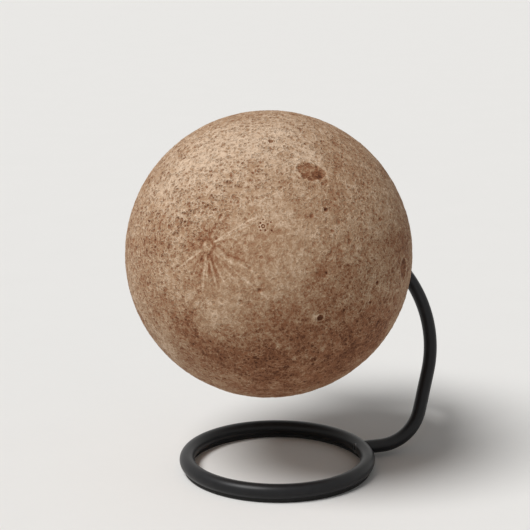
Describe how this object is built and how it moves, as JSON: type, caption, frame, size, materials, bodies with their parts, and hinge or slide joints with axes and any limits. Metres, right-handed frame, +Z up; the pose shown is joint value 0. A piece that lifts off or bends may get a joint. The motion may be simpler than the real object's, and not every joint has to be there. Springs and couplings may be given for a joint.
{
  "type": "moon lamp",
  "caption": "Moon-shaped lamp head with relief, turning on an axle behind it, held by a bent bar arm over an open ring base.",
  "frame": {"origin": "on the tabletop, under the middle of the open base ring", "axes": "+Z up, +Y from the front of the lamp to its back along the direction of the axle, +X to the side where the arm leaves the ring"},
  "size_m": [0.1701, 0.1853, 0.193],
  "materials": {
    "painted_bar": "satin black powder coat on steel bar",
    "rubber": "matt black rubber",
    "screw_steel": "black oxide steel",
    "axle_steel": "turned zinc-plated steel",
    "nylon": "natural nylon",
    "moon_print": "printed moon relief, warm grey-brown, matt",
    "cap_plastic": "fine-grained black moulding",
    "button_plastic": "satin dark grey moulding",
    "board_laminate": "green laminate",
    "light_chips": "yellow phosphor",
    "opal_plastic": "opal diffuser",
    "cell_wrap": "plain blue shrink wrap",
    "foam": "dark closed-cell foam",
    "sink_aluminium": "plain aluminium",
    "clear_pipe": "clear light pipe",
    "socket_steel": "drawn steel shell",
    "switch_plastic": "black moulding"
  },
  "bodies": {
    "stand": {"foot_ring": "rubber", "base_ring": "painted_bar", "arm": "painted_bar", "arm_screw": "screw_steel", "hub": "painted_bar", "hub_grub_screw": "screw_steel", "bushing_front": "nylon", "bushing_rear": "nylon"},
    "head": {"neck_gasket": "rubber", "cap_screws": "screw_steel", "axle_screws": "screw_steel", "board_screws": "screw_steel", "axle": "axle_steel", "flat_washer": "axle_steel", "spring_washer": "axle_steel", "lock_nut": "axle_steel", "thrust_washer": "nylon", "moon_shell": "moon_print", "rear_cap": "cap_plastic", "neck_ring": "cap_plastic", "axle_cover": "cap_plastic", "led_column": "cap_plastic", "control_board": "board_laminate", "led_board": "board_laminate", "led_chips": "light_chips", "diffuser": "opal_plastic", "battery": "cell_wrap", "battery_spacers": "foam", "battery_pads": "foam", "heat_sink": "sink_aluminium", "light_pipe": "clear_pipe", "charging_socket": "socket_steel", "tactile_switch": "switch_plastic"},
    "button": {"power_button": "button_plastic"}
  },
  "joints": [
    {"name": "moon_turn", "type": "hinge", "parent": "stand", "child": "head", "pos_m": [-0.0046, 0.09002, 0.118], "axis": [0, 1, 0], "continuous": true},
    {"name": "button_press", "type": "slide", "parent": "head", "child": "button", "axis": [0, -1, 0], "range_m": [0, 0.0008], "stiffness_N_per_m": 500, "springref_m": -0.001}
  ]
}
